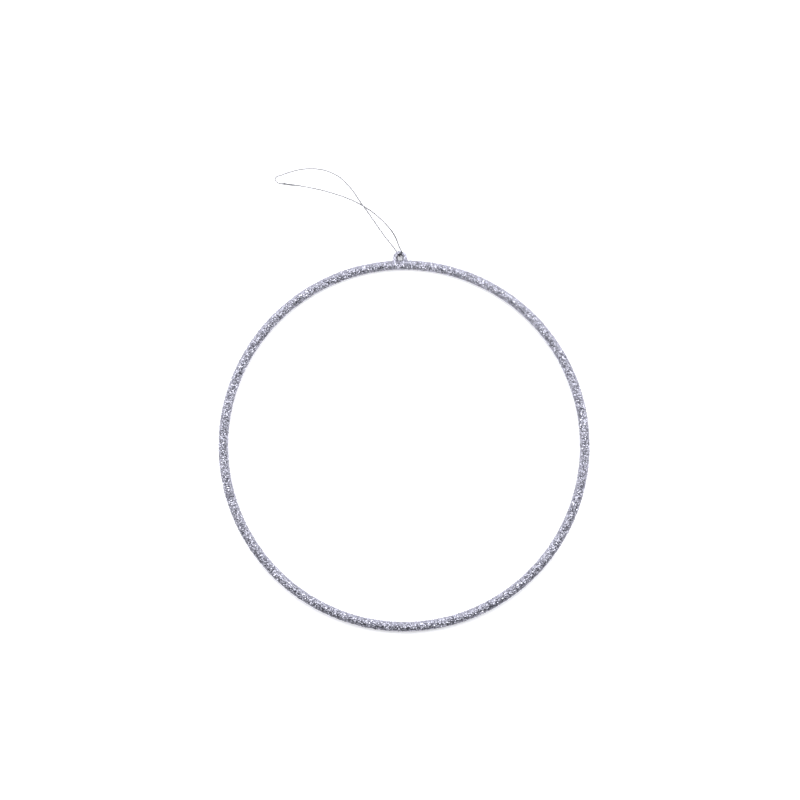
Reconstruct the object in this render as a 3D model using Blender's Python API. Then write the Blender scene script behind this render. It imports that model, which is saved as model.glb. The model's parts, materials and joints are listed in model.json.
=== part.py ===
"""Wreath hoop with a hanging eye and a loop of metallic thread.

A steel rod is bent into a ring and butt-welded. A small U of wire is welded to its outer side
as a hanging eye, and both are covered in a coat of glitter. A loop of thread runs through the eye.
The hoop lies flat: +Z is up, z = 0 is the surface under it, and the eye is towards +Y.
"""

import math

import bmesh
import bpy
from mathutils import Vector

MM = 0.001
GAP = 0.3 * MM  # left between neighbouring pieces

# Hoop
HOOP_RADIUS = 97.5 * MM  # to the centreline of the rod
COAT_RADIUS = 2.5 * MM  # of the coated section
COAT_WALL = 0.3 * MM
ROD_RADIUS = COAT_RADIUS - COAT_WALL - GAP
HOOP_STATIONS = 72  # sections in a full turn
SIDES = 12  # of every round section, with a flat underneath

# Hanging eye: a U with its legs on the hoop and a half ring over them
EYE_CENTRE_OUT = 3.9 * MM  # of its hole, from the hoop's centreline
EYE_RADIUS = 2.55 * MM  # of the half ring's centreline
EYE_COAT_RADIUS = 1.2 * MM
EYE_WIRE_RADIUS = EYE_COAT_RADIUS - COAT_WALL - GAP
EYE_ARC_STATIONS = 12
FLARE = 0.4 * MM  # how much a leg's coat widens at the foot
FLARE_LENGTH = 1.3 * MM
FOOT_DEPTH = 1.8 * MM  # how far a leg's coat starts inside the hoop's
EYE_COAT_REACH = math.radians(3.1)  # along the hoop, each way from the eye

# Welds
WELD_ANGLE = math.radians(-3.1)  # of the butt weld, from the eye
WELD_LENGTH = 1.5 * MM
BEAD_RADIUS = 1.0 * MM
BEAD_LENGTH = 0.6 * MM

# The origin is under the middle of the box round the hoop and its eye
EYE_TOP = HOOP_RADIUS + EYE_CENTRE_OUT + EYE_RADIUS + EYE_COAT_RADIUS
SHIFT_BACK = (EYE_TOP - HOOP_RADIUS - COAT_RADIUS) / 2
HOOP_CENTRE = Vector((0, -SHIFT_BACK, COAT_RADIUS * math.cos(math.pi / SIDES)))
EYE_CENTRE = HOOP_CENTRE + Vector((0, HOOP_RADIUS + EYE_CENTRE_OUT, 0))
UP = Vector((0, 0, 1))

# Thread
THREAD_RADIUS = 0.3 * MM
THREAD_SPACING = 2.4 * MM
WRAP_RADIUS = EYE_COAT_RADIUS + THREAD_RADIUS + GAP  # of the thread's turn round the eye
OVER_SIDE = math.radians(-14)  # where it crosses over the eye, anticlockwise from +Y
UNDER_SIDE = math.radians(24)  # where it comes back under the eye
OVER_LEAVES = math.radians(54)  # where the turn starts, on the circle round the eye's section
UNDER_LEAVES = math.radians(271)  # where it ends
WRAP_STATIONS = 14
WRAP_SPACING = 1.2 * MM  # between the loop and the turn
KNOT_POINT = (-61.6, 41.4, 1.0)  # on the loop's route
KNOT_RING_RADIUS = 0.8 * MM
KNOT_WALL_RADIUS = 0.2 * MM
KNOT_STRETCH = 4.5  # along the thread
KNOT_WALL_SIDES = 8

# The thread's route, in mm: across and out from the centre of the eye's hole, and up from the
# surface. It goes from the turn round the eye to the line it lifts on, round the loop and back.
OVER_ROUTE = [
    (-0.5, 6.2, 1.9),
    (-1.8, 10.3, 0.4),
]
LOOP_ROUTE = [
    (-3.1, 12.9, 0.3),
    (-5.1, 15.9, 0.3),
    (-9.1, 20.5, 0.3),
    (-14.5, 25.3, 0.6),
    (-19.5, 28.6, 1.05),
    (-23.9, 31.2, 0.75),
    (-28.1, 33.1, 0.4),
    (-33.6, 35.2, 0.3),
    (-41.8, 37.7, 0.3),
    (-50.1, 39.6, 0.3),
    (-56.6, 40.8, 0.6),
    KNOT_POINT,
    (-64.7, 41.9, 0.7),
    (-66.3, 43.1, 0.4),
    (-66.6, 44.3, 0.3),
    (-65.8, 45.4, 0.3),
    (-63.5, 46.2, 0.3),
    (-58.1, 47.9, 0.3),
    (-52.6, 49.1, 0.3),
    (-47.1, 49.4, 0.3),
    (-41.6, 48.8, 0.3),
    (-36.7, 47.2, 0.3),
    (-31.8, 44.5, 0.3),
    (-28.0, 40.8, 0.3),
    (-24.6, 36.7, 0.3),
    (-22.0, 32.6, 0.3),
    (-19.4, 28.7, 0.3),
    (-17.0, 25.3, 0.3),
    (-13.9, 20.6, 0.3),
    (-10.2, 15.1, 0.3),
    (-6.9, 10.4, 0.3),
]
UNDER_ROUTE = [
    (-3.2, 5.6, 0.35),
]

# Colour, metallic value and roughness of each material
MATERIALS = {
    "steel": ((0.42, 0.42, 0.43), 1.0, 0.35),
    "weld_metal": ((0.30, 0.30, 0.31), 1.0, 0.5),
    "silver_glitter": ((0.62, 0.62, 0.68), 0.85, 0.4),
    "silver_thread": ((0.55, 0.55, 0.58), 0.8, 0.35),
}


def clear_scene():
    for old in list(bpy.data.objects):
        bpy.data.objects.remove(old, do_unlink=True)


def material(name):
    found = bpy.data.materials.get(name)
    if found:
        return found
    colour, metallic, roughness = MATERIALS[name]
    made = bpy.data.materials.new(name)
    made.use_nodes = True
    shader = made.node_tree.nodes["Principled BSDF"]
    shader.inputs["Base Color"].default_value = (*colour, 1)
    shader.inputs["Metallic"].default_value = metallic
    shader.inputs["Roughness"].default_value = roughness
    made.diffuse_color = (*colour, 1)
    return made


def add_object(name, data, material_name):
    data.materials.append(material(material_name))
    made = bpy.data.objects.new(name, data)
    bpy.context.scene.collection.objects.link(made)
    return made


def add_mesh(name, bm, material_name):
    """One object from a bmesh, with its faces pointing out and its round sides shaded smooth."""
    bmesh.ops.recalc_face_normals(bm, faces=bm.faces)
    mesh = bpy.data.meshes.new(name)
    bm.to_mesh(mesh)
    bm.free()
    mesh.shade_smooth()
    mesh.set_sharp_from_angle(angle=math.radians(40))
    return add_object(name, mesh, material_name)


def level_sections(bm, line, radii):
    """A ring of vertices round each point of a level line, with a flat side underneath."""
    rings = []
    for i, (point, radius) in enumerate(zip(line, radii)):
        before = line[max(i - 1, 0)]
        after = line[min(i + 1, len(line) - 1)]
        outwards = (after - before).normalized().cross(UP)
        ring = []
        for k in range(SIDES):
            angle = 2 * math.pi * (k + 0.5) / SIDES
            offset = radius * (math.cos(angle) * outwards + math.sin(angle) * UP)
            ring.append(bm.verts.new(point + offset))
        rings.append(ring)
    return rings


def join_rings(bm, first, second):
    for k in range(len(first)):
        after = (k + 1) % len(first)
        bm.faces.new((first[k], first[after], second[after], second[k]))


def rod_along(name, line, radii, material_name):
    """A solid bar along a level line."""
    bm = bmesh.new()
    rings = level_sections(bm, line, radii)
    for first, second in zip(rings, rings[1:]):
        join_rings(bm, first, second)
    bm.faces.new(rings[0])
    bm.faces.new(rings[-1])
    return add_mesh(name, bm, material_name)


def pipe_along(name, line, outer, inner, material_name):
    """A pipe along a level line, open at both ends."""
    bm = bmesh.new()
    outside = level_sections(bm, line, [outer] * len(line))
    inside = level_sections(bm, line, [inner] * len(line))
    for wall in (outside, inside):
        for first, second in zip(wall, wall[1:]):
            join_rings(bm, first, second)
    for end in (0, -1):
        join_rings(bm, outside[end], inside[end])
    return add_mesh(name, bm, material_name)


def hoop_point(angle):
    """A point on the hoop's centreline, by its angle from the eye, anticlockwise from above."""
    return HOOP_CENTRE + HOOP_RADIUS * Vector((-math.sin(angle), math.cos(angle), 0))


def hoop_line(start, end):
    """Points on the hoop's centreline from one angle to another."""
    count = max(2, round(HOOP_STATIONS * (end - start) / (2 * math.pi)))
    return [hoop_point(start + (end - start) * i / count) for i in range(count + 1)]


def eye_point(angle):
    """A point on the half ring's centreline, by its angle from +X."""
    return EYE_CENTRE + EYE_RADIUS * Vector((math.cos(angle), math.sin(angle), 0))


def eye_arc():
    return [eye_point(math.pi * i / EYE_ARC_STATIONS) for i in range(EYE_ARC_STATIONS + 1)]


def leg_foot():
    """How far below the centre of the eye's hole the outer side of the hoop's coat is."""
    return EYE_CENTRE_OUT - COAT_RADIUS


def flared_eye(radius):
    """The eye's centreline from foot to foot, and a radius at each point that widens at the feet."""
    foot = leg_foot()
    heights = [foot + FOOT_DEPTH, foot, foot - FLARE_LENGTH / 2]
    widths = [radius + FLARE, radius + FLARE, radius + FLARE / 4]
    right = [eye_point(0) - Vector((0, height, 0)) for height in heights]
    left = [eye_point(math.pi) - Vector((0, height, 0)) for height in heights]
    arc = eye_arc()
    line = right + arc + left[::-1]
    return line, widths + [radius] * len(arc) + widths[::-1]


def make_hoop_rod():
    half_gap = (WELD_LENGTH / 2 + GAP) / HOOP_RADIUS
    line = hoop_line(WELD_ANGLE + half_gap, WELD_ANGLE + 2 * math.pi - half_gap)
    rod_along("hoop_rod", line, [ROD_RADIUS] * len(line), "steel")


def make_butt_weld():
    """The weld between the rod's two ends, ground flush with it."""
    half_length = WELD_LENGTH / 2 / HOOP_RADIUS
    line = hoop_line(WELD_ANGLE - half_length, WELD_ANGLE + half_length)
    rod_along("butt_weld", line, [ROD_RADIUS] * len(line), "weld_metal")


def bead_top():
    """How far below the centre of the eye's hole a weld bead ends."""
    return EYE_CENTRE_OUT - ROD_RADIUS - GAP - BEAD_LENGTH


def make_eye_wire():
    foot = Vector((0, bead_top() - GAP, 0))
    line = [eye_point(0) - foot, *eye_arc(), eye_point(math.pi) - foot]
    rod_along("eye_wire", line, [EYE_WIRE_RADIUS] * len(line), "steel")


def make_eye_weld(side, leg):
    """The bead that joins one leg of the eye to the rod, wide at the rod."""
    top = leg - Vector((0, bead_top(), 0))
    line = [top - Vector((0, BEAD_LENGTH, 0)), top]
    rod_along(f"eye_weld_{side}", line, [BEAD_RADIUS, EYE_WIRE_RADIUS], "weld_metal")


def make_hoop_coat():
    end_angle = EYE_COAT_REACH + GAP / 2 / HOOP_RADIUS
    line = hoop_line(end_angle, 2 * math.pi - end_angle)
    pipe_along("hoop_glitter_coat", line, COAT_RADIUS, COAT_RADIUS - COAT_WALL, "silver_glitter")


def make_cutter(name, line, radii):
    cutter = rod_along(name, line, radii, "silver_glitter")
    cutter.hide_render = True
    cutter.display_type = "WIRE"
    return cutter


def make_eye_coat():
    """The coat over the eye and the hoop under it: both outsides joined, less both insides."""
    end_angle = EYE_COAT_REACH - GAP / 2 / HOOP_RADIUS
    line = hoop_line(-end_angle, end_angle)
    coat = rod_along("eye_glitter_coat", line, [COAT_RADIUS] * len(line), "silver_glitter")

    past_end = 1.5 * EYE_COAT_REACH
    inside_line = hoop_line(-past_end, past_end)
    inside_radius = COAT_RADIUS - COAT_WALL
    steps = [
        ("UNION", "eye_outside", *flared_eye(EYE_COAT_RADIUS)),
        ("DIFFERENCE", "hoop_inside", inside_line, [inside_radius] * len(inside_line)),
        ("DIFFERENCE", "eye_inside", *flared_eye(EYE_COAT_RADIUS - COAT_WALL)),
    ]
    for operation, name, cutter_line, radii in steps:
        boolean = coat.modifiers.new(name, "BOOLEAN")
        boolean.operation = operation
        boolean.object = make_cutter(name, cutter_line, radii)


def smooth_line(route, spacing, first, last):
    """Points about a spacing apart along a smooth curve through the route's points, from its first
    point asked for to its last. The points beyond those still shape the curve."""
    line = []
    for i in range(first, last):
        start, end = route[i], route[i + 1]
        before, after = route[max(i - 1, 0)], route[min(i + 2, len(route) - 1)]
        length = (end - start).length
        leaving = (end - before) * length / (end - before).length
        arriving = (after - start) * length / (after - start).length
        count = max(1, round(length / spacing))
        for k in range(count):
            t = k / count
            point = (2 * t**3 - 3 * t**2 + 1) * start + (3 * t**2 - 2 * t**3) * end
            point += (t**3 - 2 * t**2 + t) * leaving + (t**3 - t**2) * arriving
            point.z = max(point.z, THREAD_RADIUS)
            line.append(point)
    line.append(route[last].copy())
    return line


def wrap_point(turn):
    """A point on the thread's turn round the eye, by its angle round the eye's section: 0 is
    outwards, a quarter turn is on top and a half turn is inside the hole."""
    share = (turn - OVER_LEAVES) / (UNDER_LEAVES - OVER_LEAVES)
    side = OVER_SIDE + share * (UNDER_SIDE - OVER_SIDE)
    out = EYE_RADIUS + WRAP_RADIUS * math.cos(turn)
    up = WRAP_RADIUS * math.sin(turn)
    return EYE_CENTRE + Vector((-out * math.sin(side), out * math.cos(side), up))


def route_point(across, out, height):
    return Vector((EYE_CENTRE.x + across * MM, EYE_CENTRE.y + out * MM, height * MM))


def whole_route():
    """From where the thread leaves its turn over the eye to where it comes back under it."""
    spots = [route_point(*spot) for spot in OVER_ROUTE + LOOP_ROUTE + UNDER_ROUTE]
    return [wrap_point(OVER_LEAVES), *spots, wrap_point(UNDER_LEAVES)]


def lift_point():
    """The middle of the line that the loop lifts on, across the tops of its two ends."""
    middle = (route_point(*LOOP_ROUTE[0]) + route_point(*LOOP_ROUTE[-1])) / 2
    middle.z = 2 * THREAD_RADIUS
    return middle


def add_thread(name, line, origin):
    """A round thread along a line, with its object's origin on the axis that it turns about."""
    curve = bpy.data.curves.new(name, "CURVE")
    curve.dimensions = "3D"
    curve.bevel_depth = THREAD_RADIUS
    curve.bevel_resolution = 2
    curve.use_fill_caps = True
    spline = curve.splines.new("POLY")
    spline.points.add(len(line) - 1)
    for spot, point in zip(spline.points, line):
        spot.co = (*(point - origin), 1)
    thread = add_object(name, curve, "silver_thread")
    thread.location = origin
    return thread


def make_thread_loop(route, start, end):
    """The loop lying on the surface, a gap short of the turn round the eye at both ends."""
    line = smooth_line(route, THREAD_SPACING, start, end)
    for tip, inner in ((0, 1), (-1, -2)):
        line[tip] = line[tip] + GAP * (line[inner] - line[tip]).normalized()
    return add_thread("thread_loop", line, lift_point())


def make_thread_bight(route, start, end):
    """The turn round the eye, from the loop's one end to its other."""
    back = smooth_line(route, WRAP_SPACING, end, len(route) - 1)
    away = smooth_line(route, WRAP_SPACING, 0, start)
    step = (OVER_LEAVES - UNDER_LEAVES) / WRAP_STATIONS
    turn = [wrap_point(UNDER_LEAVES + step * i) for i in range(1, WRAP_STATIONS)]
    add_thread("thread_bight", back + turn + away, EYE_CENTRE)


def make_thread_knot(loop):
    """A bead of the knot's size, round the thread."""
    place = LOOP_ROUTE.index(KNOT_POINT)
    before, centre, after = (route_point(*spot) for spot in LOOP_ROUTE[place - 1 : place + 2])
    bpy.ops.mesh.primitive_torus_add(
        major_radius=KNOT_RING_RADIUS,
        minor_radius=KNOT_WALL_RADIUS,
        major_segments=SIDES,
        minor_segments=KNOT_WALL_SIDES,
    )
    knot = bpy.context.object
    knot.name = "thread_knot"
    for vertex in knot.data.vertices:
        vertex.co.z *= KNOT_STRETCH
    knot.data.shade_smooth()
    knot.data.materials.append(material("silver_thread"))
    knot.parent = loop
    knot.location = centre - loop.location
    knot.rotation_euler = (after - before).to_track_quat("Z", "Y").to_euler()


def make_thread():
    """One length of thread as two solids and the knot on it."""
    route = whole_route()
    loop_start = 1 + len(OVER_ROUTE)
    loop_end = loop_start + len(LOOP_ROUTE) - 1
    make_thread_bight(route, loop_start, loop_end)
    loop = make_thread_loop(route, loop_start, loop_end)
    make_thread_knot(loop)


clear_scene()
make_hoop_rod()
make_butt_weld()
make_eye_wire()
make_eye_weld("right", eye_point(0))
make_eye_weld("left", eye_point(math.pi))
make_hoop_coat()
make_eye_coat()
make_thread()
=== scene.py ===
"""Looks of the wreath hoop: a coat of silver glitter flakes, and a twisted thread with its knot."""

import json
import math

import bmesh
import bpy
import numpy as np
from mathutils import Matrix, Vector


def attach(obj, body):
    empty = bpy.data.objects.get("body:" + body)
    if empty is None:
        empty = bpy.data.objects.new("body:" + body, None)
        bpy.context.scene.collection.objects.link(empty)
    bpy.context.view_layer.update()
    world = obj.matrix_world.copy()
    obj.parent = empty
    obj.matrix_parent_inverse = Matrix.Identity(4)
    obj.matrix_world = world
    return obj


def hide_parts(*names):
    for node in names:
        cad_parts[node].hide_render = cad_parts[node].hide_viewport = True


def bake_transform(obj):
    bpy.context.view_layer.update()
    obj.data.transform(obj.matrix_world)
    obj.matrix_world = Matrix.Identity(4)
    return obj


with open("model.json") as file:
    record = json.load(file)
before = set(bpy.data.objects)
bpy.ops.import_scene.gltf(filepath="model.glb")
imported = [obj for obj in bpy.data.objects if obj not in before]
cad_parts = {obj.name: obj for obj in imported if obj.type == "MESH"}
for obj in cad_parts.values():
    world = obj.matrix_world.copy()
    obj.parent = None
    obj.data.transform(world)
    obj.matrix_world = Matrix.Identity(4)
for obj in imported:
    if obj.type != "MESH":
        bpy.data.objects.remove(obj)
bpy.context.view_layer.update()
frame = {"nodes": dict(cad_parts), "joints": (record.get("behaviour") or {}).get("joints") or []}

MM = 0.001
UP = np.array([0.0, 0.0, 1.0])

# Places that the frame gives
JOINTS = {joint["name"]: joint for joint in frame["joints"]}
EYE_CENTRE = np.array(JOINTS["loop_swing"]["pos_m"])

# The hoop and the eye, to the CAD model's sizes
HOOP_RADIUS = 97.5 * MM
COAT_RADIUS = 2.5 * MM
EYE_CENTRE_OUT = 3.9 * MM
EYE_RADIUS = 2.55 * MM
EYE_COAT_RADIUS = 1.2 * MM
FLARE = 0.4 * MM  # how much a leg's coat widens at the foot
FLARE_START = 0.2 * MM  # below the centre of the eye's hole
FLARE_LENGTH = 1.2 * MM
FOOT_DEPTH = 1.8 * MM  # how far a leg's coat starts inside the hoop's
HOOP_CENTRE = EYE_CENTRE - np.array([0, HOOP_RADIUS + EYE_CENTRE_OUT, 0])

# The thread's turn round the eye, as the CAD model makes it
THREAD_DIAMETER = 0.6 * MM
WRAP_RADIUS = 1.8 * MM  # about the centre of the eye's section
OVER_SIDE = math.radians(-14)  # where it crosses over the eye, anticlockwise from +Y
UNDER_SIDE = math.radians(24)
OVER_LEAVES = math.radians(54)  # where the turn starts, on the circle round the eye's section
UNDER_LEAVES = math.radians(271)
IN_THE_HOLE = math.radians(165)  # where the line starts and ends

# Its route from there and back, in mm: across and out from the centre of the eye's hole, and up
KNOT_POINT = (-61.6, 41.4, 1.0)
OVER_ROUTE = [
    (-0.5, 6.2, 1.9),
    (-1.8, 10.3, 0.4),
]
LOOP_ROUTE = [
    (-3.1, 12.9, 0.3),
    (-5.1, 15.9, 0.3),
    (-9.1, 20.5, 0.3),
    (-14.5, 25.3, 0.6),
    (-19.5, 28.6, 1.05),
    (-23.9, 31.2, 0.75),
    (-28.1, 33.1, 0.4),
    (-33.6, 35.2, 0.3),
    (-41.8, 37.7, 0.3),
    (-50.1, 39.6, 0.3),
    (-56.6, 40.8, 0.6),
    KNOT_POINT,
    (-64.7, 41.9, 0.7),
    (-66.3, 43.1, 0.4),
    (-66.6, 44.3, 0.3),
    (-65.8, 45.4, 0.3),
    (-63.5, 46.2, 0.3),
    (-58.1, 47.9, 0.3),
    (-52.6, 49.1, 0.3),
    (-47.1, 49.4, 0.3),
    (-41.6, 48.8, 0.3),
    (-36.7, 47.2, 0.3),
    (-31.8, 44.5, 0.3),
    (-28.0, 40.8, 0.3),
    (-24.6, 36.7, 0.3),
    (-22.0, 32.6, 0.3),
    (-19.4, 28.7, 0.3),
    (-17.0, 25.3, 0.3),
    (-13.9, 20.6, 0.3),
    (-10.2, 15.1, 0.3),
    (-6.9, 10.4, 0.3),
]
UNDER_ROUTE = [
    (-3.2, 5.6, 0.35),
]

# Yarn: a bright film ply and two darker ones, twisted together
PLY_RADIUS = 0.165 * MM
PLY_OFFSET = 0.145 * MM
TWIST_PITCH = 1.3 * MM
PLY_TONES = (1.0, 0.45, 0.0)
PLY_SIDES = 6
DARKENED_LENGTH = 11 * MM  # from the hole, over which the thread's plies are darker
DARKENED_FADE = 14 * MM  # over which they come back to their own tones
YARN_STEP = 0.12 * MM

# Knot: the three lobes of an overhand knot, pulled tight, and its two cut ends
KNOT_POINTS = 96
LOBE_SIZE = 1.6  # radius of the part that turns twice, where the part that turns once has 1
KNOT_WIDTH = 0.22 * MM
KNOT_HEIGHT = 0.2 * MM
KNOT_LENGTH = 0.5 * MM
KNOT_YARN_RADIUS = 0.15 * MM
KNOT_TONE = 0.5
TAIL_RADIUS = 0.13 * MM
TAIL_POINTS = 16
TAILS = [
    # reach along the thread, reach off it, and bow
    (5.6 * MM, -0.45 * MM, -0.1 * MM),
    (-0.5 * MM, 1.2 * MM, 0.2 * MM),
]

# Glitter: a lattice of small facets, two to a flake
FACET_SIZE = 0.46 * MM
FACET_SHIFT = 0.22  # of a facet, that a corner strays
FACET_ROUGHNESS = 0.12 * MM  # typical height of a corner over the coat's mean surface
PROUD_SHARE = 0.05  # of the corners, that stand up from the rest
PROUD_HEIGHT = 0.16 * MM
HEIGHT_LIMIT = 0.3 * MM
EYE_PAINTED_LIGHT_POWER = 0.8  # power on the eye's facet tones, where 1 is the hoop's; below 1 it paints the eye's glitter lighter, painted light for a part less shaded than the hoop
HOLE_SIDE = -0.4  # the cosine round the eye's section past which a facet lines the hole
HOLE_PAINTED_SHADE = 0.2  # of the facets that line the hole: painted shade for the shadow on the hole's inner wall
SEED = 11

# Colour ramps, as (place, colour)
GLITTER_TONES = [
    (0.0, (0.11, 0.11, 0.125)),
    (0.25, (0.205, 0.205, 0.24)),
    (0.5, (0.31, 0.31, 0.36)),
    (0.8, (0.41, 0.41, 0.47)),
    (1.0, (0.52, 0.52, 0.585)),
]
YARN_TONES = [
    (0.2, (0.06, 0.06, 0.065)),
    (0.36, (0.09, 0.09, 0.095)),
    (0.55, (0.28, 0.28, 0.29)),
    (0.7, (0.5, 0.5, 0.52)),
]
WORLD_SHADES = [
    (0.0, (0.05, 0.05, 0.06)),
    (0.5, (0.17, 0.172, 0.195)),
    (0.75, (0.95, 0.96, 1.05)),
    (1.0, (1.1, 1.1, 1.22)),
]

# Camera: straight above the hoop, turned a little, so that the eye is left of the top
VIEW_WIDTH = 431.5 * MM
LENS = 85.0
SENSOR = 36.0
ROLL = math.radians(-1.2)
LOOKS_RIGHT = -2.2 * MM  # of the hoop's centre, across the picture
LOOKS_UP = 24.7 * MM

FLOOR_SIZE = 40  # in metres, so that its edge is out of sight


def make_camera():
    camera = bpy.data.objects.new("camera", bpy.data.cameras.new("camera"))
    camera.data.lens = LENS
    camera.data.sensor_width = SENSOR
    turn = Matrix.Rotation(ROLL, 3, "Z")
    middle = Vector(HOOP_CENTRE) + turn @ Vector((LOOKS_RIGHT, LOOKS_UP, 0))
    camera.location = middle + Vector((0, 0, VIEW_WIDTH * LENS / SENSOR))
    camera.rotation_euler = (0, 0, ROLL)
    bpy.context.scene.collection.objects.link(camera)
    bpy.context.scene.camera = camera


# ---------------------------------------------------------------- materials


def new_material(name, metallic):
    made = bpy.data.materials.new(name)
    made.use_nodes = True
    shader = made.node_tree.nodes["Principled BSDF"]
    shader.inputs["Metallic"].default_value = metallic
    return made, made.node_tree, shader


def ramp_node(tree, stops):
    """A colour ramp with a stop at each (place, colour)."""
    ramp = tree.nodes.new("ShaderNodeValToRGB")
    elements = ramp.color_ramp.elements
    while len(elements) < len(stops):
        elements.new(0.5)
    for element, (place, colour) in zip(elements, stops):
        element.position = place
        element.color = (*colour, 1)
    return ramp


def face_value(tree, name):
    node = tree.nodes.new("ShaderNodeAttribute")
    node.attribute_name = name
    return node.outputs["Fac"]


def object_texture(tree, kind, scale):
    """A texture over the object's own coordinates."""
    place = tree.nodes.new("ShaderNodeTexCoord")
    texture = tree.nodes.new(kind)
    texture.inputs["Scale"].default_value = scale
    tree.links.new(place.outputs["Object"], texture.inputs["Vector"])
    return texture


def noise_value(tree, scale, detail):
    noise = object_texture(tree, "ShaderNodeTexNoise", scale)
    noise.inputs["Detail"].default_value = detail
    return noise.outputs["Fac"]


def mixed_value(tree, first, second, share):
    """The first value with a share of the second mixed in."""
    mix = tree.nodes.new("ShaderNodeMix")
    mix.inputs["Factor"].default_value = share
    tree.links.new(first, mix.inputs["A"])
    tree.links.new(second, mix.inputs["B"])
    return mix.outputs["Result"]


def set_colour(tree, shader, value, stops):
    """The shader's colour, through a ramp."""
    ramp = ramp_node(tree, stops)
    tree.links.new(value, ramp.inputs["Fac"])
    tree.links.new(ramp.outputs["Color"], shader.inputs["Base Color"])


def set_gloss(tree, shader, value, dull, bright):
    """The shader's roughness, from dull where the value is 0 to bright where it is 1."""
    gloss = tree.nodes.new("ShaderNodeMapRange")
    gloss.inputs["To Min"].default_value = dull
    gloss.inputs["To Max"].default_value = bright
    tree.links.new(value, gloss.inputs["Value"])
    tree.links.new(gloss.outputs["Result"], shader.inputs["Roughness"])


def set_bump(tree, shader, height, strength, distance):
    bump = tree.nodes.new("ShaderNodeBump")
    bump.inputs["Strength"].default_value = strength
    bump.inputs["Distance"].default_value = distance
    tree.links.new(height, bump.inputs["Height"])
    tree.links.new(bump.outputs["Normal"], shader.inputs["Normal"])


def glitter_material():
    """Metallised flakes in clear lacquer: each facet has its own tone and gloss, and finer flakes
    show through between them."""
    made, tree, shader = new_material("silver_glitter", metallic=0.9)
    fine = object_texture(tree, "ShaderNodeTexVoronoi", scale=3200)
    tone = mixed_value(tree, face_value(tree, "facet"), fine.outputs["Color"], share=0.15)
    set_colour(tree, shader, tone, GLITTER_TONES)
    set_gloss(tree, shader, tone, dull=0.34, bright=0.16)
    set_bump(tree, shader, fine.outputs["Distance"], strength=0.3, distance=0.04 * MM)
    return made


def yarn_material():
    """Plies from bright film to dull and dark, in short bands, with longer light and dark stretches that
    are painted highlight and painted shade.
    """
    made, tree, shader = new_material("silver_thread", metallic=0.85)
    bands = noise_value(tree, scale=1500, detail=3)
    # Painted highlight and shade: longer light and dark stretches along the thread stand in for glints that
    # come and go as it turns
    stretches = noise_value(tree, scale=80, detail=2)
    banded = mixed_value(tree, face_value(tree, "ply"), bands, share=0.3)
    tone = mixed_value(tree, banded, stretches, share=0.3)
    set_colour(tree, shader, tone, YARN_TONES)
    set_gloss(tree, shader, tone, dull=0.6, bright=0.25)
    set_bump(tree, shader, bands, strength=0.4, distance=0.03 * MM)
    return made


def steel_material(name, dark, light, grain, roughness):
    """Bare steel, with its tone and its surface broken up by a grain."""
    made, tree, shader = new_material(name, metallic=1.0)
    noise = noise_value(tree, scale=grain, detail=6)
    set_colour(tree, shader, noise, [(0.3, dark), (0.7, light)])
    set_bump(tree, shader, noise, strength=0.3, distance=0.03 * MM)
    shader.inputs["Roughness"].default_value = roughness
    return made


def floor_material():
    """A white floor that glows a little, as a lit table does, so that shadows on it stay faint."""
    made, _, shader = new_material("floor", metallic=0)
    shader.inputs["Base Color"].default_value = (0.93, 0.93, 0.95, 1)
    shader.inputs["Roughness"].default_value = 0.8
    shader.inputs["Specular IOR Level"].default_value = 0.2
    shader.inputs["Emission Color"].default_value = (1, 1, 1, 1)
    shader.inputs["Emission Strength"].default_value = 0.3
    return made


# ---------------------------------------------------------------- meshes


def add_mesh(name, vertices, faces, material):
    mesh = bpy.data.meshes.new(name)
    mesh.from_pydata(vertices.tolist(), [], faces)
    mesh.materials.append(material)
    made = bpy.data.objects.new(name, mesh)
    bpy.context.scene.collection.objects.link(made)
    return made


def close_up(made, smooth):
    """Fills open ends and turns all faces outwards."""
    bm = bmesh.new()
    bm.from_mesh(made.data)
    rims = [edge for edge in bm.edges if edge.is_boundary]
    if rims:
        bmesh.ops.holes_fill(bm, edges=rims)
    bmesh.ops.recalc_face_normals(bm, faces=bm.faces)
    if bm.calc_volume(signed=True) < 0:
        bmesh.ops.reverse_faces(bm, faces=bm.faces)
    bm.to_mesh(made.data)
    bm.free()
    if smooth:
        made.data.shade_smooth()


def set_face_values(made, name, values):
    attribute = made.data.attributes.new(name, "FLOAT", "FACE")
    attribute.data.foreach_set("value", np.array(values, np.float32))


def facet_lattice(length, girth, closed, rng):
    """A rough triangular lattice over a tube. For each corner: its place along, its place round as
    a share of a turn, and its height over the tube. Then the triangles."""
    along_count = round(length / FACET_SIZE)
    round_count = 2 * round(girth / (FACET_SIZE * math.sqrt(3)))
    i, j = np.meshgrid(np.arange(along_count), np.arange(round_count), indexing="ij")
    shape = i.shape
    along = i + 0.5 * (j % 2) + FACET_SHIFT * rng.uniform(-1, 1, shape)
    around = j + FACET_SHIFT * rng.uniform(-1, 1, shape)
    height = FACET_ROUGHNESS * rng.normal(size=shape)
    height += PROUD_HEIGHT * (rng.random(shape) < PROUD_SHARE)
    height = np.clip(height, -HEIGHT_LIMIT, HEIGHT_LIMIT)
    steps = along_count if closed else along_count - 1
    places = np.stack([along * length / steps, around / round_count, height], -1)

    def corner(a, b):
        return (a % along_count) * round_count + b % round_count

    faces = []
    for a in range(steps):
        for b in range(round_count):
            left, right = corner(a, b), corner(a + 1, b)
            above_left, above_right = corner(a, b + 1), corner(a + 1, b + 1)
            if b % 2:
                faces += [[left, right, above_right], [left, above_right, above_left]]
            else:
                faces += [[left, right, above_left], [right, above_right, above_left]]
    return places.reshape(-1, 3), faces


def facet_tones(faces, rng):
    """A tone for each triangle, the same for the two of a flake."""
    return np.repeat(rng.random(len(faces) // 2), 2)


def add_glitter(name, vertices, faces, tones, material, replaced):
    made = add_mesh(name, vertices, faces, material)
    set_face_values(made, "facet", tones)
    close_up(made, False)
    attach(made, "hoop")
    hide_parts(replaced)


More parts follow.
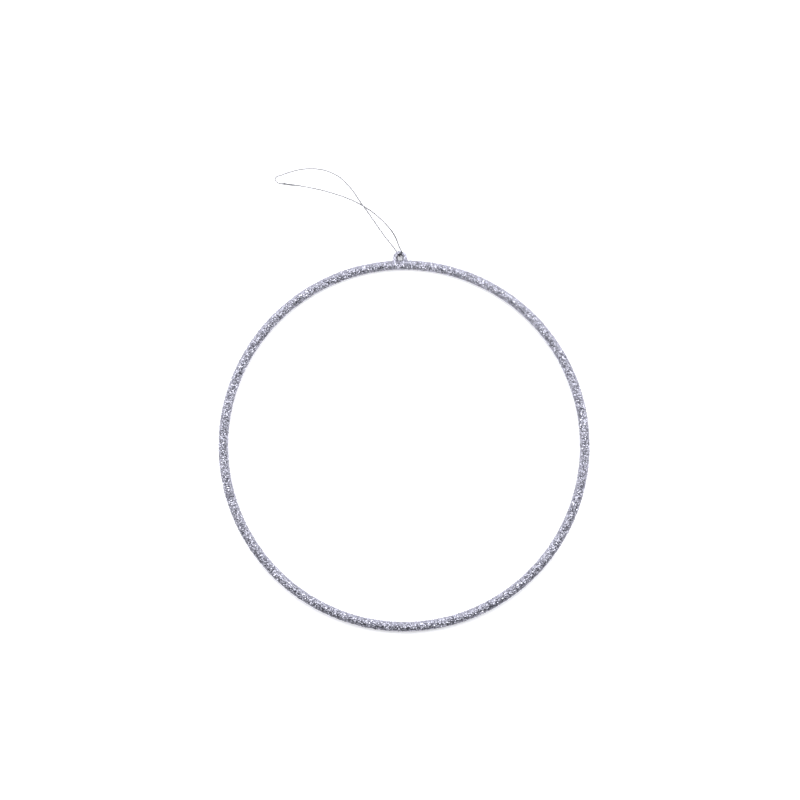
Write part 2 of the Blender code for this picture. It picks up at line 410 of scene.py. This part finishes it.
def make_hoop_glitter(material):
    rng = np.random.default_rng(SEED)
    places, faces = facet_lattice(2 * math.pi * HOOP_RADIUS, 2 * math.pi * COAT_RADIUS, True, rng)
    angle = places[:, 0] / HOOP_RADIUS
    outwards = np.stack([-np.sin(angle), np.cos(angle), np.zeros_like(angle)], axis=1)
    turn = 2 * math.pi * places[:, 1]
    radius = COAT_RADIUS + places[:, 2]
    vertices = HOOP_CENTRE + outwards * (HOOP_RADIUS + radius * np.cos(turn))[:, None]
    vertices = vertices + UP * (radius * np.sin(turn))[:, None]
    vertices[:, 2] = np.maximum(vertices[:, 2], 0)
    add_glitter("hoop_glitter", vertices, faces, facet_tones(faces, rng), material, "hoop_glitter_coat")


def eye_line(distance, leg):
    """Points on the eye's centreline at distances from its right foot, the level direction across
    it at each, and how far each is below the centre of the hole."""
    arc = math.pi * EYE_RADIUS
    angle = np.clip((distance - leg) / EYE_RADIUS, 0, math.pi)
    below = np.maximum(leg - distance, 0) + np.maximum(distance - leg - arc, 0)
    level = np.zeros_like(angle)
    outwards = np.stack([np.cos(angle), np.sin(angle), level], axis=1)
    points = EYE_CENTRE + EYE_RADIUS * outwards - np.stack([level, below, level], axis=1)
    return points, outwards, below


def make_eye_glitter(material):
    rng = np.random.default_rng(SEED + 1)
    leg = EYE_CENTRE_OUT - COAT_RADIUS + FOOT_DEPTH
    length = 2 * leg + math.pi * EYE_RADIUS
    places, faces = facet_lattice(length, 2 * math.pi * EYE_COAT_RADIUS, False, rng)
    points, outwards, below = eye_line(places[:, 0], leg)
    turn = 2 * math.pi * places[:, 1]
    widening = np.clip((below - FLARE_START) / FLARE_LENGTH, 0, 1)
    radius = EYE_COAT_RADIUS + FLARE * widening**2 + places[:, 2]
    vertices = points + outwards * (radius * np.cos(turn))[:, None] + UP * (radius * np.sin(turn))[:, None]
    # Painted light: the eye's facet tones are raised a little over the hoop's, as the eye is less shaded
    tones = facet_tones(faces, rng) ** EYE_PAINTED_LIGHT_POWER
    # Painted shade: the facets that line the eye's hole are darkened for the shadow on the hole's inner
    # wall
    hole_shade_mask = [math.cos(turn[face[0]]) < HOLE_SIDE for face in faces]
    tones = np.where(hole_shade_mask, HOLE_PAINTED_SHADE * tones, tones)
    add_glitter("eye_glitter", vertices, faces, tones, material, "eye_glitter_coat")


# ---------------------------------------------------------------- thread


def wrap_point(turn):
    """A point on the thread's turn round the eye, by its angle round the eye's section."""
    share = (turn - OVER_LEAVES) / (UNDER_LEAVES - OVER_LEAVES)
    side = OVER_SIDE + share * (UNDER_SIDE - OVER_SIDE)
    out = EYE_RADIUS + WRAP_RADIUS * math.cos(turn)
    up = WRAP_RADIUS * math.sin(turn)
    return EYE_CENTRE + np.array([-out * math.sin(side), out * math.cos(side), up])


def route_point(across, out, height):
    return np.array([EYE_CENTRE[0] + across * MM, EYE_CENTRE[1] + out * MM, height * MM])


def smooth_line(route, spacing):
    """Points about a spacing apart along a smooth curve through the route's points."""
    line = []
    for i in range(len(route) - 1):
        start, end = route[i], route[i + 1]
        before, after = route[max(i - 1, 0)], route[min(i + 2, len(route) - 1)]
        length = np.linalg.norm(end - start)
        leaving = (end - before) * length / np.linalg.norm(end - before)
        arriving = (after - start) * length / np.linalg.norm(after - start)
        count = max(1, round(length / spacing))
        for k in range(count):
            t = k / count
            point = (2 * t**3 - 3 * t**2 + 1) * start + (3 * t**2 - 2 * t**3) * end
            point = point + (t**3 - 2 * t**2 + t) * leaving + (t**3 - t**2) * arriving
            point[2] = max(point[2], THREAD_DIAMETER / 2)
            line.append(point)
    line.append(route[-1])
    return line


def wrap_line(start, end):
    """The thread's turn round the eye between two angles, without its last point."""
    count = round(abs(end - start) * WRAP_RADIUS / YARN_STEP)
    return [wrap_point(start + (end - start) * k / count) for k in range(count)]


def thread_line():
    """The whole thread's centreline: out of the hole over the eye, round the loop, and back under."""
    spots = [route_point(*spot) for spot in OVER_ROUTE + LOOP_ROUTE + UNDER_ROUTE]
    route = [wrap_point(OVER_LEAVES), *spots, wrap_point(UNDER_LEAVES)]
    over = wrap_line(IN_THE_HOLE, OVER_LEAVES)
    under = wrap_line(UNDER_LEAVES, IN_THE_HOLE)[1:]
    return np.array(over + smooth_line(route, YARN_STEP) + under)


def cross_directions(line):
    """Two directions across a line at each of its points, carried along it without twist."""
    tangents = np.gradient(line, axis=0)
    tangents /= np.linalg.norm(tangents, axis=1)[:, None]
    side = np.cross(tangents[0], UP)
    sides = []
    for tangent in tangents:
        side = side - tangent * (side @ tangent)
        side = side / np.linalg.norm(side)
        sides.append(side)
    sides = np.array(sides)
    return sides, np.cross(tangents, sides)


def tube_mesh(line, radius, sides):
    """Vertices and faces of a capped tube along a line."""
    first, second = cross_directions(line)
    angles = 2 * math.pi * np.arange(sides) / sides
    across = np.cos(angles)[None, :, None] * first[:, None]
    tall = np.sin(angles)[None, :, None] * second[:, None]
    rings = line[:, None] + radius * (across + tall)
    count = len(line)
    faces = [
        [r * sides + k, r * sides + (k + 1) % sides, (r + 1) * sides + (k + 1) % sides, (r + 1) * sides + k]
        for r in range(count - 1)
        for k in range(sides)
    ]
    faces.append(list(range(sides))[::-1])
    faces.append([(count - 1) * sides + k for k in range(sides)])
    return rings.reshape(-1, 3), faces


def plied_yarn(line, run):
    """Vertices and faces of plies twisted round a line, and each face's tone."""
    first, second = cross_directions(line)
    vertices, faces, tones = [], [], []
    for number, tone in enumerate(PLY_TONES):
        phase = 2 * math.pi * (run / TWIST_PITCH + number / len(PLY_TONES))
        offset = np.cos(phase)[:, None] * first + np.sin(phase)[:, None] * second
        strand, strand_faces = tube_mesh(line + PLY_OFFSET * offset, PLY_RADIUS, PLY_SIDES)
        start = number * len(strand)
        vertices.append(strand)
        faces += [[start + v for v in face] for face in strand_faces]
        places = run[[face[0] // PLY_SIDES for face in strand_faces]]
        # The plies are darker along the first stretch of the thread from the hole, and lighten back over
        # the next
        tones += list(tone * np.clip((places - DARKENED_LENGTH) / DARKENED_FADE, 0, 1))
    return np.concatenate(vertices), faces, tones


def make_thread(material):
    """The yarn, built along the thread's whole centreline."""
    line = thread_line()
    run = np.concatenate([[0], np.cumsum(np.linalg.norm(np.diff(line, axis=0), axis=1))])
    vertices, faces, tones = plied_yarn(line, run)
    made = add_mesh("metallic_thread", vertices, faces, material)
    set_face_values(made, "ply", tones)
    close_up(made, True)
    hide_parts("thread_bight", "thread_loop")
    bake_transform(made)


def make_knot(material):
    """An overhand knot pulled tight round the thread. One cut end lies along the thread and the
    other stands off it."""
    centre = route_point(*KNOT_POINT)
    place = LOOP_ROUTE.index(KNOT_POINT)
    towards_eye = route_point(*LOOP_ROUTE[place - 1]) - route_point(*LOOP_ROUTE[place + 1])
    towards_eye /= np.linalg.norm(towards_eye)
    side = np.cross(UP, towards_eye)
    side /= np.linalg.norm(side)
    up = np.cross(towards_eye, side)

    t = 2 * math.pi * np.arange(KNOT_POINTS + 1) / KNOT_POINTS
    across = KNOT_WIDTH * (np.sin(t) + LOBE_SIZE * np.sin(2 * t))
    tall = KNOT_HEIGHT * (np.cos(t) - LOBE_SIZE * np.cos(2 * t))
    length = -KNOT_LENGTH * np.sin(3 * t)
    turns = centre + np.outer(across, side) + np.outer(tall, up) + np.outer(length, towards_eye)
    vertices, faces = tube_mesh(turns, KNOT_YARN_RADIUS, PLY_SIDES)
    for reach, off, bow in TAILS:
        share = np.linspace(0, 1, TAIL_POINTS)[:, None]
        tip = centre + towards_eye * reach + side * off
        tip[2] = THREAD_DIAMETER / 2
        tail = centre + share * (tip - centre) + side * bow * np.sin(math.pi * share)
        more, more_faces = tube_mesh(tail, TAIL_RADIUS, PLY_SIDES)
        faces += [[len(vertices) + v for v in face] for face in more_faces]
        vertices = np.concatenate([vertices, more])
    vertices[:, 2] = np.maximum(vertices[:, 2], 0)
    made = add_mesh("tied_knot", vertices, faces, material)
    set_face_values(made, "ply", np.full(len(faces), KNOT_TONE))
    close_up(made, True)
    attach(made, "loop")
    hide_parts("thread_knot")
    return made


# ---------------------------------------------------------------- stage


def make_floor():
    bpy.ops.mesh.primitive_plane_add(size=FLOOR_SIZE)
    floor = bpy.context.object
    floor.name = "floor"
    floor.data.materials.append(floor_material())


def add_light(name, location, size, power):
    """A soft light aimed at the origin, which the camera doesn't see."""
    data = bpy.data.lights.new(name, "AREA")
    data.shape = "RECTANGLE"
    data.size, data.size_y = size
    data.energy = power
    light = bpy.data.objects.new(name, data)
    light.location = location
    light.visible_camera = False
    light.rotation_euler = (Vector((0, 0, 0)) - Vector(location)).to_track_quat("-Z", "Y").to_euler()
    bpy.context.scene.collection.objects.link(light)


def make_world():
    """Soft light from all round, brighter behind the object (+Y) than in front of it."""
    world = bpy.data.worlds.new("world")
    world.use_nodes = True
    tree = world.node_tree
    nodes, links = tree.nodes, tree.links
    direction = nodes.new("ShaderNodeTexCoord")
    parts = nodes.new("ShaderNodeSeparateXYZ")
    links.new(direction.outputs["Generated"], parts.inputs["Vector"])
    behind = nodes.new("ShaderNodeMapRange")
    behind.inputs["From Min"].default_value = -1
    links.new(parts.outputs["Y"], behind.inputs["Value"])
    shades = ramp_node(tree, WORLD_SHADES)
    links.new(behind.outputs["Result"], shades.inputs["Fac"])
    links.new(shades.outputs["Color"], nodes["Background"].inputs["Color"])
    bpy.context.scene.world = world


def make_lights():
    add_light("overhead_light", location=(0, 0.3, 0.36), size=(0.8, 0.25), power=1.6)
    add_light("left_light", location=(-0.5, 0.1, 0.5), size=(0.35, 0.6), power=3.0)
    add_light("right_light", location=(0.5, 0.1, 0.5), size=(0.35, 0.6), power=3.0)


make_camera()
yarn = yarn_material()
knot = make_knot(yarn)
make_thread(yarn)
glitter = glitter_material()
make_hoop_glitter(glitter)
make_eye_glitter(glitter)

steel = steel_material(
    "steel",
    dark=(0.32, 0.32, 0.33),
    light=(0.5, 0.5, 0.51),
    grain=900,
    roughness=0.35,
)
weld_metal = steel_material(
    "weld_metal",
    dark=(0.16, 0.15, 0.15),
    light=(0.38, 0.38, 0.39),
    grain=2500,
    roughness=0.5,
)
for node in ("hoop_rod", "eye_wire"):
    frame["nodes"][node].data.materials[0] = steel
for node in ("butt_weld", "eye_weld_left", "eye_weld_right"):
    frame["nodes"][node].data.materials[0] = weld_metal

make_floor()
make_world()
make_lights()
bpy.context.scene.view_settings.view_transform = "Standard"  # which keeps the floor white
